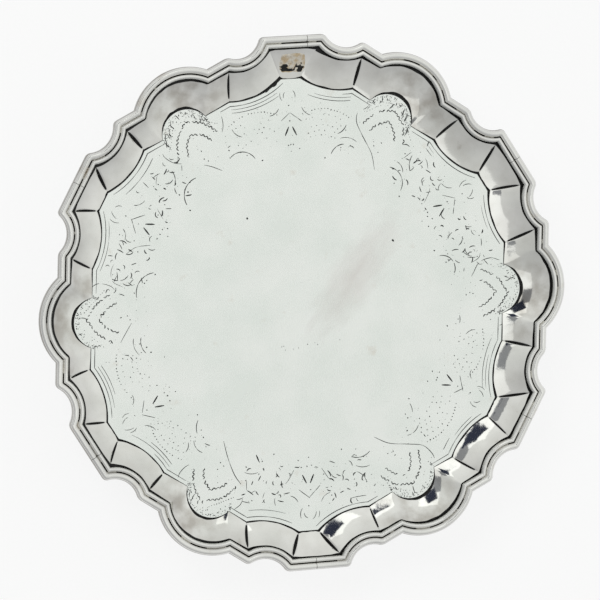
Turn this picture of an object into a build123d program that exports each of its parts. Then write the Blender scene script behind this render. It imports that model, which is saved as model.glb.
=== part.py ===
from build123d import *
import os
from math import atan2, cos, degrees, radians, sin, sqrt, tan

# A small six-lobed silver salver (a waiter) on three cast hoof feet.
# The body is one hammered sheet: a flat plate, a concave border (the cavetto) that
# rises from it, and a narrow level flange. A moulded rim, cast in six sections, is
# soldered on the flange with butt seams in the middle of the tablets.
# Frame: origin on the standing surface under the centre, +Z up, one lobe on +X.
# Lengths are in millimetres and angles in degrees.

# ---- outline, seen from above -------------------------------------------------
LOBES = 6
TABLET_REACH = 80.0      # centre to the straight outer edge of a tablet
TABLET_ANGLE = 7.125     # half the angle that this edge spans
SHOULDER_STEP = 3.93     # the shoulders' line lies this far inside the tablets' edge
SHOULDER_ANGLE = 14.63   # half the angle between the two shoulder corners of a lobe
LOBE_ANGLE = 9.4         # half the angle between the two feet of a lobe's arc
LOBE_RISE = 5.4          # a lobe's top stands this far outside its shoulders' line
LOBE_TWIST = 4.33        # each lobe and its shoulders lie turned by this much
SCOOP_DEPTH = 2.8        # the hollow between a shoulder and a tablet
PLATE_LOBE_ANGLE = 6.6   # as LOBE_ANGLE, where the border meets the flat plate
PLATE_TABLET_TRIM = 0.8  # the tablets' corners lie this much nearer their middle there

# ---- sheet ---------------------------------------------------------------------
SHEET = 1.1              # gauge of the sheet
BORDER_WIDTH = 12.2      # outer edge to the flat plate
PLATE_SHIFT_X = -0.8     # the flat plate lies this far off the rim's centre, raised by eye
PLATE_SHIFT_Y = -0.8
BORDER_RISE = 3.7        # flange's top above the plate's top
BORDER_BREAK = 10.0      # slope of the cavetto where it leaves the plate
CAVETTO_BANDS = 5
STAND = 16.0             # plate's underside above the standing surface

# ---- cast rim moulding, widths inward from the edge, heights above the flange ---
RIM_WIDTH = 3.8
OUTER_BEAD_WIDTH = 2.1
OUTER_BEAD_HEIGHT = 1.5
INNER_BEAD_HEIGHT = 1.3
VALLEY_HEIGHT = 0.8
INNER_EDGE_HEIGHT = 0.35
LIP_WIDTH = 0.6          # the lip that hides the raw edge of the sheet
LIP_BELOW = 0.15         # it ends this far below the sheet
LIP_TAPER = 0.2
LIP_GAP = 0.03           # solder room between the lip and the sheet's edge
SEAM_WIDTH = 0.16        # solder film between two sections
SEAM_RECESS = 0.12       # the film is dressed back this far
SEAM_SHIFTS = (0.0, -4.4, -0.5, 2.3, -0.8, 0.0)   # along the tablets, from 30 degrees on

# ---- feet ----------------------------------------------------------------------
FOOT_TABLETS = (90.0, 210.0, 330.0)
FOOT_INSET = 8.6         # outer edge of the tablet to the middle of the leg
LEG_COVER = 0.3          # the raw leg ends this far under the flange's top, then is trimmed
SOLDER_COLLAR = 0.55     # width and thickness of the solder round a leg

# ---- old repair over the foot at 90 degrees ----------------------------------------
PATCH_LENGTH = 7.8       # along the tablet
PATCH_WIDTH = 5.0        # across it
PATCH_SHIFT = -0.4       # along the tablet from its middle
PATCH_INSET = 8.2        # outer edge to the middle of the patch
PATCH_THICKNESS = 0.3
PATCH_CORNER = 1.2

CELL = 360 / LOBES
HALF_CELL = CELL / 2
PLATE_TOP = STAND + SHEET
FLANGE_TOP = PLATE_TOP + BORDER_RISE
SHOULDER_REACH = TABLET_REACH - SHOULDER_STEP
CAVETTO_WIDTH = BORDER_WIDTH - RIM_WIDTH


def polar(radius, angle):
    """A point at this radius and angle."""
    return Vector(radius * cos(radians(angle)), radius * sin(radians(angle)))


def arc_centre(start, end, depth, outward):
    """Centre of the arc from start to end whose middle lies this deep off the chord."""
    chord = end - start
    radius = (chord.length ** 2 / 4 + depth ** 2) / (2 * depth)
    return (start + end) * 0.5 + outward * (radius - depth), radius


def meet(angle, distance, centre, radius, side):
    """Where the line with this normal angle and distance crosses the circle."""
    normal = polar(1, angle)
    along = polar(1, angle + 90)
    gap = distance - centre.dot(normal)
    return normal * distance + along * (centre.dot(along) + side * sqrt(radius ** 2 - gap ** 2))


# The two scoops beside a lobe, drawn on the outer edge: centre and radius.
LOBE_NORMAL = polar(1, -LOBE_TWIST)
LOBE_ALONG = polar(1, 90 - LOBE_TWIST)
LOBE_FOOT = Vector(SHOULDER_REACH, 0)


def scoop(side):
    """Centre and radius of the scoop on one side of the lobe, at the outer edge."""
    shoulder = LOBE_FOOT + LOBE_ALONG * (side * SHOULDER_REACH * tan(radians(SHOULDER_ANGLE)))
    tablet_middle = polar(TABLET_REACH, side * HALF_CELL)
    tablet_along = polar(1, side * HALF_CELL - side * 90)
    tablet = tablet_middle + tablet_along * (TABLET_REACH * tan(radians(TABLET_ANGLE)))
    outward = Vector(tablet.Y - shoulder.Y, shoulder.X - tablet.X).normalized() * side
    return arc_centre(shoulder, tablet, SCOOP_DEPTH, outward)


SCOOPS = {1: scoop(1), -1: scoop(-1)}


def down_border(inset):
    """How far this inset is from the rim to the flat plate, as a share."""
    return max(0.0, inset - RIM_WIDTH) / CAVETTO_WIDTH


def lobe_half_width(inset):
    """Half the distance between the feet of the lobe's arc, at this inset."""
    foot = SHOULDER_REACH * tan(radians(LOBE_ANGLE))
    radius = (foot ** 2 + LOBE_RISE ** 2) / (2 * LOBE_RISE)
    parallel = min(inset, RIM_WIDTH)
    at_rim = sqrt((radius - parallel) ** 2 - (radius - LOBE_RISE - parallel) ** 2)
    at_plate = (SHOULDER_REACH - BORDER_WIDTH) * tan(radians(PLATE_LOBE_ANGLE))
    return at_rim + (at_plate - at_rim) * down_border(inset)


def corners(inset):
    """The named corners of the cell round the lobe on +X, at this inset."""
    foot = LOBE_FOOT - LOBE_NORMAL * inset
    points = {"top": foot + LOBE_NORMAL * LOBE_RISE}
    for side in (1, -1):
        centre, radius = SCOOPS[side]
        reach = radius + inset
        line = SHOULDER_REACH * cos(radians(LOBE_TWIST)) - inset
        points["foot", side] = foot + LOBE_ALONG * (side * lobe_half_width(inset))
        points["shoulder", side] = meet(-LOBE_TWIST, line, centre, reach, -side)
        points["tablet", side] = meet(side * HALF_CELL, TABLET_REACH - inset, centre, reach, side)
        mean = (points["shoulder", side] + points["tablet", side]) * 0.5 - centre
        points["scoop", side] = centre + mean.normalized() * reach
        points["tablet", side] += polar(-PLATE_TABLET_TRIM * down_border(inset), side * (HALF_CELL - 90))
    return points


def cell_edges(inset, turn):
    """Edges of one cell from its clockwise tablet corner to its other one."""
    p = {name: point.rotate(Axis.Z, turn) for name, point in corners(inset).items()}
    return [
        ThreePointArc(p["tablet", -1], p["scoop", -1], p["shoulder", -1]),
        Line(p["shoulder", -1], p["foot", -1]),
        ThreePointArc(p["foot", -1], p["top"], p["foot", 1]),
        Line(p["foot", 1], p["shoulder", 1]),
        ThreePointArc(p["shoulder", 1], p["scoop", 1], p["tablet", 1]),
    ]


def outline_face(inset, height):
    """The whole lobed outline at this inset, as a face at this height."""
    edges = []
    for lobe in range(LOBES):
        cell = cell_edges(inset, lobe * CELL)
        start = corners(inset)["tablet", 1].rotate(Axis.Z, (lobe - 1) * CELL)
        edges.append(Line(start, cell[0] @ 0))
        edges.extend(cell)
    share = down_border(inset)
    return Face(Wire(edges)).moved(Location((PLATE_SHIFT_X * share, PLATE_SHIFT_Y * share, height)))


def cavetto_section(thickness):
    """Inset and height of points up the cavetto, on a skin this far under its top."""
    chord = sqrt(CAVETTO_WIDTH ** 2 + BORDER_RISE ** 2)
    half_turn = degrees(atan2(BORDER_RISE, CAVETTO_WIDTH)) - BORDER_BREAK
    radius = chord / (2 * sin(radians(half_turn)))
    centre_inset = BORDER_WIDTH + radius * sin(radians(BORDER_BREAK))
    centre_height = PLATE_TOP + radius * cos(radians(BORDER_BREAK))
    points = []
    for band in range(CAVETTO_BANDS + 1):
        slope = radians(BORDER_BREAK + 2 * half_turn * band / CAVETTO_BANDS)
        reach = radius + thickness
        points.append((centre_inset - reach * sin(slope), centre_height - reach * cos(slope)))
    return points


def dish(thickness):
    """Everything inside the cavetto's skin, from the plate up to the flange."""
    faces = [outline_face(inset, height) for inset, height in cavetto_section(thickness)]
    return loft(faces, ruled=True)


def make_well():
    """The hollow of the salver, up to the flange's top."""
    return dish(0.0)


def make_underside():
    """The filled shape under the sheet, without the flange."""
    skin = cavetto_section(SHEET)
    top = FLANGE_TOP - SHEET
    faces = [outline_face(BORDER_WIDTH - SHEET * tan(radians(BORDER_BREAK / 2)), STAND)]
    faces += [outline_face(inset, height) for inset, height in skin[1:] if height < top]
    below, above = skin[len(faces) - 1], skin[len(faces)]
    share = (top - below[1]) / (above[1] - below[1])
    faces.append(outline_face(below[0] + share * (above[0] - below[0]), top))
    return loft(faces, ruled=True)


def make_flange():
    """The level flange as a solid slab over the whole outline."""
    edge = outline_face(LIP_WIDTH + LIP_GAP, FLANGE_TOP - SHEET)
    return extrude(edge, SHEET, dir=(0, 0, 1))


def rim_profile(plane, recess):
    """Section of the moulding on this plane; x runs inward, y up from the flange."""
    top = OUTER_BEAD_HEIGHT - recess
    outer = recess
    valley = VALLEY_HEIGHT - recess
    crest = INNER_BEAD_HEIGHT - recess
    width = RIM_WIDTH - recess
    split = OUTER_BEAD_WIDTH
    lip = recess - SHEET - LIP_BELOW
    with BuildSketch(plane) as sketch:
        with BuildLine():
            Line((outer + LIP_TAPER, lip), (outer, lip / 2))
            Line((outer, lip / 2), (outer, 0))
            ThreePointArc((outer, 0), (outer + 0.15 * split, 0.7 * top), (0.52 * split, top))
            ThreePointArc((0.52 * split, top), (0.83 * split, 0.87 * top), (split, valley))
            middle = split + 0.5 * (width - split)
            ThreePointArc((split, valley), (middle, crest), (width, INNER_EDGE_HEIGHT))
            Polyline((width, INNER_EDGE_HEIGHT), (width, 0), (LIP_WIDTH, 0), (LIP_WIDTH, lip),
                     (outer + LIP_TAPER, lip))
        make_face()
    return sketch.sketch.faces()[0]


def seam_point(index, side):
    """A point on the outer edge of tablet number index, half a film to one side of its seam."""
    angle = HALF_CELL + index * CELL
    along = polar(1, angle + 90)
    shift = SEAM_SHIFTS[index % LOBES] + side * SEAM_WIDTH / 2
    return polar(TABLET_REACH, angle) + along * shift + Vector(0, 0, FLANGE_TOP)


def section_plane(index, origin):
    """The plane square to tablet number index, with x inward and y up."""
    inward = polar(-1, HALF_CELL + index * CELL)
    return Plane(origin=origin, x_dir=inward, z_dir=inward.cross(Vector(0, 0, 1)))


def make_rim_section(lobe):
    """One casting: from the seam before this lobe to the seam after it."""
    lift = Location((0, 0, FLANGE_TOP))
    edges = [edge.moved(lift) for edge in cell_edges(0.0, lobe * CELL)]
    start = seam_point(lobe - 1, 1)
    end = seam_point(lobe, -1)
    edges = [Line(start, edges[0] @ 0)] + edges + [Line(edges[-1] @ 1, end)]
    profile = rim_profile(section_plane(lobe - 1, start), 0.0)
    return sweep(profile, path=Wire(edges), transition=Transition.RIGHT)


def make_seams():
    """The six solder films, one in each seam."""
    films = []
    for index in range(LOBES):
        plane = section_plane(index, seam_point(index, -1))
        along = polar(1, HALF_CELL + index * CELL + 90)
        films.append(extrude(rim_profile(plane, SEAM_RECESS), SEAM_WIDTH, dir=along))
    return Compound(films)


# A leg's sections from the sole up: share of its height, middle's place outward, and
# half its size outward and along the tablet.
LEG_SECTIONS = (
    (0.0, 1.6, 3.4, 3.1),
    (0.08, 1.5, 3.5, 3.2),
    (0.2, 0.7, 2.6, 2.5),
    (0.33, -0.2, 1.6, 1.8),
    (0.5, 0.0, 1.8, 2.0),
    (0.68, 1.0, 2.7, 3.0),
    (0.84, 0.9, 3.7, 4.2),
    (1.0, 0.2, 4.4, 5.2),
)


def make_leg(angle, margin):
    """A raw cast leg with a hoof, turned outward; margin makes it fatter all round."""
    height = FLANGE_TOP - LEG_COVER
    reach = TABLET_REACH - FOOT_INSET
    faces = []
    for share, outward, half_out, half_along in LEG_SECTIONS:
        plane = Plane((reach + outward, 0, share * height))
        with BuildSketch(plane) as section:
            Ellipse(half_out + margin, half_along + margin)
        faces.append(section.sketch.faces()[0])
    return loft(faces).rotate(Axis.Z, angle)


def make_patch(well):
    """A thin repair plate that lies on the cavetto over the foot at 90 degrees."""
    middle = polar(TABLET_REACH - PATCH_INSET, FOOT_TABLETS[0]) + polar(PATCH_SHIFT, FOOT_TABLETS[0] + 90)
    with BuildSketch(Plane(middle + Vector(0, 0, STAND))) as shape:
        RectangleRounded(PATCH_LENGTH, PATCH_WIDTH, PATCH_CORNER)
    prism = extrude(shape.sketch, BORDER_RISE + 2 * SHEET, dir=(0, 0, 1))
    return (prism & well) - well.moved(Location((0, 0, PATCH_THICKNESS)))


def write(shape, name):
    """Keep one named node."""
    shape.label = name
    export_step(shape, os.path.join("parts", name + ".step"))


def main():
    os.makedirs("parts", exist_ok=True)
    well = make_well()
    blank = make_underside() + make_flange()
    write(blank - well, "plate")
    for lobe in range(LOBES):
        write(make_rim_section(lobe), f"rim_section_{lobe + 1}")
    write(make_seams(), "seam_solder")
    collars = []
    lowered = blank.moved(Location((0, 0, -SOLDER_COLLAR)))
    for number, angle in enumerate(FOOT_TABLETS, start=1):
        leg = make_leg(angle, 0.0)
        write(leg - blank, f"hoof_foot_{number}")
        collars.append((make_leg(angle, SOLDER_COLLAR) & lowered) - blank - leg)
    write(Compound(collars), "foot_solder")
    write(make_patch(well), "repair_patch")


main()
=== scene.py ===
import bpy
import cmath
from bisect import bisect
import random
from math import atan2, ceil, cos, degrees, exp, hypot, pi, radians, sin, sqrt, tan
from mathutils import Matrix, Vector, noise
from mathutils.geometry import delaunay_2d_cdt


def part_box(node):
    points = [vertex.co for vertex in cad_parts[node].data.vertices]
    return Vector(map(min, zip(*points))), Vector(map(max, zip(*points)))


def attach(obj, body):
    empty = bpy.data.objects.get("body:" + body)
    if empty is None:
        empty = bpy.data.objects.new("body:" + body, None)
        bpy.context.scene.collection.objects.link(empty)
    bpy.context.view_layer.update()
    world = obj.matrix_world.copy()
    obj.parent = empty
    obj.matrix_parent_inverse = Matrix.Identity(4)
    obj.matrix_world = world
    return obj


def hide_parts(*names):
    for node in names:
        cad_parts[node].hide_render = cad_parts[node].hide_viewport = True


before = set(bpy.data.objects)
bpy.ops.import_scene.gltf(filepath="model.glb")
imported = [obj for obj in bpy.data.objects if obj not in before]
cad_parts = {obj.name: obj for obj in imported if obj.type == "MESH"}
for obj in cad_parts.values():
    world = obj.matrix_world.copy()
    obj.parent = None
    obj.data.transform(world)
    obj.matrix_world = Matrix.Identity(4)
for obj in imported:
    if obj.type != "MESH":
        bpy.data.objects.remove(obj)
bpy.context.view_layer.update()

# A six-lobed silver salver. Plan points are complex numbers in millimetres, with the
# real axis through one lobe; heights are in millimetres above the table.
MM = 0.001
random.seed(7)

# ---- outline, as in the solid model --------------------------------------------------
LOBES = 6
CELL = 360 / LOBES
HALF_CELL = CELL / 2
PLATE_LOW, PLATE_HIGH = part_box("plate")
EDGE_LAP = 0.63                                # the rim's lip stands this far outside the sheet
TABLET_REACH = PLATE_HIGH.y / MM + EDGE_LAP
TABLET_ANGLE = 7.125
SHOULDER_REACH = TABLET_REACH - 3.93
SHOULDER_ANGLE = 14.63
LOBE_ANGLE = 9.4
LOBE_RISE = 5.4
LOBE_TWIST = 4.33
SCOOP_DEPTH = 2.8
PLATE_LOBE_ANGLE = 6.6
PLATE_TABLET_TRIM = 0.8
PLATE_SHIFT = complex(-0.8, -0.8)              # the flat plate lies off the rim's centre
BORDER_WIDTH = 12.2
RIM_WIDTH = 3.8
SHEET = 1.1
BORDER_BREAK = 10.0
FLANGE_TOP = PLATE_HIGH.z / MM
STAND = PLATE_LOW.z / MM
PLATE_TOP = STAND + SHEET
BORDER_RISE = FLANGE_TOP - PLATE_TOP
SEAM_SHIFTS = (0.0, -4.4, -0.5, 2.3, -0.8, 0.0)
SEAM_WIDTH = 0.16


def polar(radius, angle):
    return cmath.rect(radius, radians(angle))


def dot(a, b):
    return (a * b.conjugate()).real


LOBE_NORMAL = polar(1, -LOBE_TWIST)
LOBE_ALONG = LOBE_NORMAL * 1j
TURNS = [polar(1, CELL * index) for index in range(LOBES)]


def scoop(side):
    """Centre and radius of the scoop beside the lobe, at the outer edge."""
    shoulder = SHOULDER_REACH + LOBE_ALONG * side * SHOULDER_REACH * tan(radians(SHOULDER_ANGLE))
    toward = polar(1, side * (HALF_CELL - 90))
    tablet = polar(TABLET_REACH, side * HALF_CELL) + toward * TABLET_REACH * tan(radians(TABLET_ANGLE))
    chord = tablet - shoulder
    radius = (abs(chord) ** 2 / 4 + SCOOP_DEPTH ** 2) / (2 * SCOOP_DEPTH)
    outward = chord / abs(chord) * -1j * side
    return (shoulder + tablet) / 2 + outward * (radius - SCOOP_DEPTH), radius


SCOOPS = {1: scoop(1), -1: scoop(-1)}


def meet(angle, distance, centre, radius, side):
    """Where the line with this normal angle and distance crosses the circle."""
    normal = polar(1, angle)
    gap = distance - dot(centre, normal)
    return normal * (distance + 1j * (dot(centre, normal * 1j) + side * sqrt(radius ** 2 - gap ** 2)))


def down_border(inset):
    """How far this inset is from the rim to the flat plate, as a share."""
    return max(0.0, inset - RIM_WIDTH) / (BORDER_WIDTH - RIM_WIDTH)


def lobe_half_width(inset):
    """Half the distance between the feet of the lobe's arc, at this inset."""
    foot = SHOULDER_REACH * tan(radians(LOBE_ANGLE))
    radius = (foot ** 2 + LOBE_RISE ** 2) / (2 * LOBE_RISE)
    parallel = min(inset, RIM_WIDTH)
    at_rim = sqrt((radius - parallel) ** 2 - (radius - LOBE_RISE - parallel) ** 2)
    at_plate = (SHOULDER_REACH - BORDER_WIDTH) * tan(radians(PLATE_LOBE_ANGLE))
    return at_rim + (at_plate - at_rim) * down_border(inset)


def corners(inset):
    """The corners of the cell round the lobe on the real axis, at this inset."""
    foot = SHOULDER_REACH - LOBE_NORMAL * inset
    points = {}
    for side in (1, -1):
        centre, radius = SCOOPS[side]
        line = SHOULDER_REACH * cos(radians(LOBE_TWIST)) - inset
        points["foot", side] = foot + LOBE_ALONG * side * lobe_half_width(inset)
        points["shoulder", side] = meet(-LOBE_TWIST, line, centre, radius + inset, -side)
        points["tablet", side] = meet(side * HALF_CELL, TABLET_REACH - inset, centre, radius + inset, side)
        mean = (points["shoulder", side] + points["tablet", side]) / 2 - centre
        points["scoop", side] = centre + mean / abs(mean) * (radius + inset)
        points["tablet", side] += polar(-PLATE_TABLET_TRIM * down_border(inset), side * (HALF_CELL - 90))
    return points


def arc_points(start, end, centre, count):
    """Points from start to end along the arc about this centre."""
    turn = cmath.phase((end - centre) / (start - centre))
    return [centre + (start - centre) * cmath.exp(1j * turn * k / count) for k in range(count + 1)]


def circle_centre(a, b, c):
    """Centre of the circle through three points."""
    ratio = (c - a) / (b - a)
    return a + (b - a) * (ratio - abs(ratio) ** 2) / (2j * ratio.imag)


def line_points(start, end, count):
    return [start + (end - start) * k / count for k in range(count + 1)]


# How far a corner is rounded, in mm along each side: the cast rim's outer corners are
# worn, the raised border's creases are crisp, and the lobes' feet melt into the border.
def crease_round(inset):
    return 0.08 + max(0.0, 1.25 - 0.45 * inset)


def foot_round(inset):
    return 0.12 + 1.3 * sin(pi * min(1.0, down_border(inset)))


CORNER_STEPS = 6
SCOOP_STEPS = 18
FLAT_STEPS = 5
LOBE_STEPS = 30
TABLET_STEPS = 8


def round_join(before, after, reach):
    """Joins two runs of points that share a corner with a curve reaching this far."""
    def trim(points, reach):
        kept = list(points)
        left = reach
        while len(kept) > 2 and abs(kept[-1] - kept[-2]) <= left:
            left -= abs(kept[-1] - kept[-2])
            kept.pop()
        step = kept[-2] - kept[-1]
        return kept[-1] + step / abs(step) * min(left, 0.9 * abs(step))
    corner = before[-1]
    start = trim(before, reach)
    end = trim(after[::-1], reach)
    curve = []
    for k in range(CORNER_STEPS + 1):
        t = k / CORNER_STEPS
        curve.append(start * (1 - t) ** 2 + corner * 2 * t * (1 - t) + end * t ** 2)
    return start, curve, end


def resample(points, start, end, count):
    """Spreads count + 1 points evenly along a run, between two points on it."""
    run = list(points)
    lengths = [0.0]
    for a, b in zip(run, run[1:]):
        lengths.append(lengths[-1] + abs(b - a))

    def at(place):
        for k in range(len(run) - 1):
            if place <= lengths[k + 1] or k == len(run) - 2:
                share = (place - lengths[k]) / (lengths[k + 1] - lengths[k])
                return run[k] + (run[k + 1] - run[k]) * share
    low = abs(start - run[0])
    high = lengths[-1] - abs(end - run[-1])
    return [at(low + (high - low) * k / count) for k in range(count + 1)]


def cell_path(inset, start_shift=0.0, end_shift=0.0):
    """One cell's outline at this inset, from tablet to tablet, with its corners rounded.

    Every inset gives the same number of points, so outlines join into strips of quads.
    """
    p = corners(inset)
    lobe_foot, lobe_end = p["foot", -1], p["foot", 1]
    half = abs(lobe_end - lobe_foot) / 2
    radius = (half ** 2 + LOBE_RISE ** 2) / (2 * LOBE_RISE)
    lobe_centre = (lobe_foot + lobe_end) / 2 + LOBE_NORMAL * (LOBE_RISE - radius)
    first = polar(TABLET_REACH - inset, -HALF_CELL) + polar(start_shift, 90 - HALF_CELL)
    last = polar(TABLET_REACH - inset, HALF_CELL) + polar(end_shift, 90 + HALF_CELL)
    hollows = {side: circle_centre(*(p[name, side] for name in ("tablet", "scoop", "shoulder")))
               for side in (1, -1)}
    dense = 4
    runs = [
        (line_points(first, p["tablet", -1], 2), TABLET_STEPS),
        (arc_points(p["tablet", -1], p["shoulder", -1], hollows[-1], dense * SCOOP_STEPS), SCOOP_STEPS),
        (line_points(p["shoulder", -1], p["foot", -1], 2), FLAT_STEPS),
        (arc_points(p["foot", -1], p["foot", 1], lobe_centre, dense * LOBE_STEPS), LOBE_STEPS),
        (line_points(p["foot", 1], p["shoulder", 1], 2), FLAT_STEPS),
        (arc_points(p["shoulder", 1], p["tablet", 1], hollows[1], dense * SCOOP_STEPS), SCOOP_STEPS),
        (line_points(p["tablet", 1], last, 2), TABLET_STEPS),
    ]
    reaches = [crease_round(inset)] * 2 + [foot_round(inset)] * 2 + [crease_round(inset)] * 2
    joins = [round_join(a[0], b[0], reach) for a, b, reach in zip(runs, runs[1:], reaches)]
    path = []
    for index, (points, count) in enumerate(runs):
        start = joins[index - 1][2] if index else first
        end = joins[index][0] if index < len(joins) else last
        path.extend(resample(points, start, end, count)[:-1])
        path.extend(joins[index][1][:-1] if index < len(joins) else [last])
    return path


# Where each corner's middle falls in a cell's path, by name.
def corner_columns():
    columns, place = {}, 0
    steps = (TABLET_STEPS, SCOOP_STEPS, FLAT_STEPS, LOBE_STEPS, FLAT_STEPS, SCOOP_STEPS)
    names = (("tablet", -1), ("shoulder", -1), ("foot", -1), ("foot", 1), ("shoulder", 1), ("tablet", 1))
    for count, name in zip(steps, names):
        place += count
        columns[name] = place + CORNER_STEPS // 2
        place += CORNER_STEPS
    return columns


CORNERS_AT = corner_columns()
COLUMNS = len(cell_path(0.0))

# ---- meshes ---------------------------------------------------------------------------


class Shell:
    """Points and faces of one piece, gathered part by part; equal points are shared."""

    def __init__(self):
        self.points, self.faces, self.tones, self.known = [], [], [], {}

    def point(self, place, height):
        key = (round(place.real, 4), round(place.imag, 4), round(height, 4))
        if key not in self.known:
            self.known[key] = len(self.points)
            self.points.append((place.real, place.imag, height))
        return self.known[key]

    def face(self, corners_, tone=0):
        kept = [c for k, c in enumerate(corners_) if c != corners_[k - 1]]
        if len(set(kept)) == len(kept) > 2:
            self.faces.append(kept)
            self.tones.append(tone)

    def strips(self, rows, closed=True, tone=lambda r, c: 0):
        """Quads between rows of point numbers; tone(row, column) picks the material."""
        for r in range(len(rows) - 1):
            a, b = rows[r], rows[r + 1]
            count = len(a)
            for c in range(count if closed else count - 1):
                d = (c + 1) % count
                self.face([a[c], a[d], b[d], b[c]], tone(r, c))

    def piece(self, name, materials, sharp=32.0):
        """A closed mesh from the points in millimetres, smooth except where it folds sharply."""
        mesh = bpy.data.meshes.new(name)
        mesh.from_pydata([(x * MM, y * MM, z * MM) for x, y, z in self.points], [], self.faces)
        for material in materials:
            mesh.materials.append(material)
        mesh.polygons.foreach_set("material_index", self.tones)
        mesh.polygons.foreach_set("use_smooth", [True] * len(mesh.polygons))
        mesh.validate()
        mesh.set_sharp_from_angle(angle=radians(sharp))
        piece = bpy.data.objects.new(name, mesh)
        bpy.context.scene.collection.objects.link(piece)
        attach(piece, "root")
        return piece


# ---- rim: six castings ------------------------------------------------------------------

OUTER_HALF = 1.08         # half widths and heights of the two beads
OUTER_HEIGHT = 1.5
INNER_MIDDLE = 2.94
INNER_HALF = 0.76
INNER_HEIGHT = 1.3
NOTCH = 2.14              # the notch between them; its dark is painted shade
NOTCH_HEIGHT = 0.32
SHADE_GAP_INSET = 2.1          # where the gaps in the notch's painted shade and in the dark at the inner bead's foot are read
LIP_WIDTH = 0.6
LIP_DROP = 1.25


def rim_profile():
    """Inset, height above the flange and tone round the moulding's section.

    Tones: 0 polished, 1 painted shade in the notch and the joint's dark at the inner bead's foot, 2 painted
    shade on the outer side.
    """
    # Tone 2, the darker silver on the outer, lower side, is painted shade.
    loop = [(LIP_WIDTH, -LIP_DROP, 2), (0.24, -LIP_DROP, 2), (0.06, -0.8, 2), (0.0, -0.35, 2)]
    for k in range(0, 13):
        angle = pi - k * (pi - 0.48) / 12
        height = OUTER_HEIGHT * max(0.0, sin(angle)) ** 0.85
        loop.append((OUTER_HALF + OUTER_HALF * cos(angle), height, 2 if k < 3 else 0))
    # The faces down into the notch take the joints' near-black: painted shade.
    loop[-1] = (loop[-1][0], loop[-1][1], 1)
    loop.append((NOTCH, NOTCH_HEIGHT, 1))
    for k in range(0, 11):
        angle = pi - 0.45 - k * (pi - 0.45) / 10
        height = INNER_HEIGHT * max(0.0, sin(angle)) ** 0.85
        loop.append((INNER_MIDDLE + INNER_HALF * cos(angle), height, 0))
    loop[-2] = (loop[-2][0], loop[-2][1], 1)
    loop.append((LIP_WIDTH, 0.0, 0))
    return loop


def make_rim_section(lobe, materials):
    loop = rim_profile()
    shifts = (SEAM_SHIFTS[(lobe - 1) % LOBES] + SEAM_WIDTH / 2, SEAM_SHIFTS[lobe] - SEAM_WIDTH / 2)
    shell = Shell()
    rows = []
    for inset, height, _ in loop:
        path = cell_path(inset, *shifts)
        rows.append([shell.point(place * TURNS[lobe], FLANGE_TOP + height) for place in path])
    path = [place * TURNS[lobe] for place in cell_path(SHADE_GAP_INSET)]
    # Where this noise is low, the notch's painted shade and the dark at the inner bead's foot are left out.
    shade_and_tarnish_gaps = [noise.noise(Vector((place.real / 5, place.imag / 5, 2.0))) < -0.12 for place in path]
    shell.strips(rows + rows[:1], False, lambda r, c: 0 if loop[r][2] == 1 and shade_and_tarnish_gaps[c] else loop[r][2])
    shell.face([row[0] for row in rows])
    shell.face([row[-1] for row in rows][::-1])
    name = f"cast_rim_{lobe + 1}"
    piece = shell.piece(name, materials)
    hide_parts(f"rim_section_{lobe + 1}")
    return piece


# ---- sheet: plate, raised border and flange ------------------------------------------------

BORDER_ROWS = 16


def border_arc():
    """Centre and radius of the border's section, and the slopes at its two ends."""
    width = BORDER_WIDTH - RIM_WIDTH
    half_turn = degrees(atan2(BORDER_RISE, width)) - BORDER_BREAK
    radius = hypot(width, BORDER_RISE) / (2 * sin(radians(half_turn)))
    centre = BORDER_WIDTH + radius * sin(radians(BORDER_BREAK))
    height = PLATE_TOP + radius * cos(radians(BORDER_BREAK))
    return centre, height, radius, BORDER_BREAK, BORDER_BREAK + 2 * half_turn


def on_border(inset, depth=0.0):
    """Height of the border's top face at this inset, or of the arc this deep under it."""
    centre, height, radius, _, _ = border_arc()
    return height - sqrt((radius + depth) ** 2 - (centre - inset) ** 2)


def inset_at(reach, angle):
    """Inset of a place this far out on the axis of the tablet at this angle."""
    inset = TABLET_REACH - reach
    if inset < RIM_WIDTH:
        return max(inset, 0.0)
    off = dot(PLATE_SHIFT, polar(1, angle)) / (BORDER_WIDTH - RIM_WIDTH)
    return (inset - off * RIM_WIDTH) / (1 - off)


def border_section(depth):
    """Inset and height up the border, this deep under its top face."""
    centre, height, radius, low, high = border_arc()
    points = []
    for k in range(BORDER_ROWS + 1):
        slope = radians(low + (high - low) * k / BORDER_ROWS)
        points.append((centre - (radius + depth) * sin(slope), height - (radius + depth) * cos(slope)))
    return points


def whole_path(inset):
    """The outline of the whole salver at this inset."""
    path = cell_path(inset)[:-1]
    shift = PLATE_SHIFT * down_border(inset)
    return [place * turn + shift for turn in TURNS for place in path]


# ---- engraving: every stroke is a small V-cut in the plate ----------------------------------

CUT_SLOPE = 0.55          # a cut's depth for each mm from its side to its middle
strokes = []              # each is a list of (place, half width)


def add_stroke(points, width, blunt=False):
    """A cut along these points, widest in the middle and tapered to its ends."""
    last = len(points) - 1
    cut = []
    for k, place in enumerate(points):
        share = 1.0 if blunt else sin(pi * (0.12 + 0.76 * k / last)) ** 0.7
        cut.append((place + PLATE_SHIFT, max(0.03, width / 2 * share)))
    strokes.append(cut)


def curve_points(start, end, bulge, step=0.9):
    """Points on the arc from start to end whose middle stands off the chord by bulge."""
    chord = end - start
    count = max(2, ceil(abs(chord) / step))
    if abs(bulge) < 0.01:
        return line_points(start, end, count)
    radius = (abs(chord) ** 2 / 4 + bulge ** 2) / (2 * abs(bulge))
    side = chord / abs(chord) * 1j * (1 if bulge > 0 else -1)
    centre = (start + end) / 2 + side * (abs(bulge) - radius)
    return arc_points(start, end, centre, count)


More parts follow.
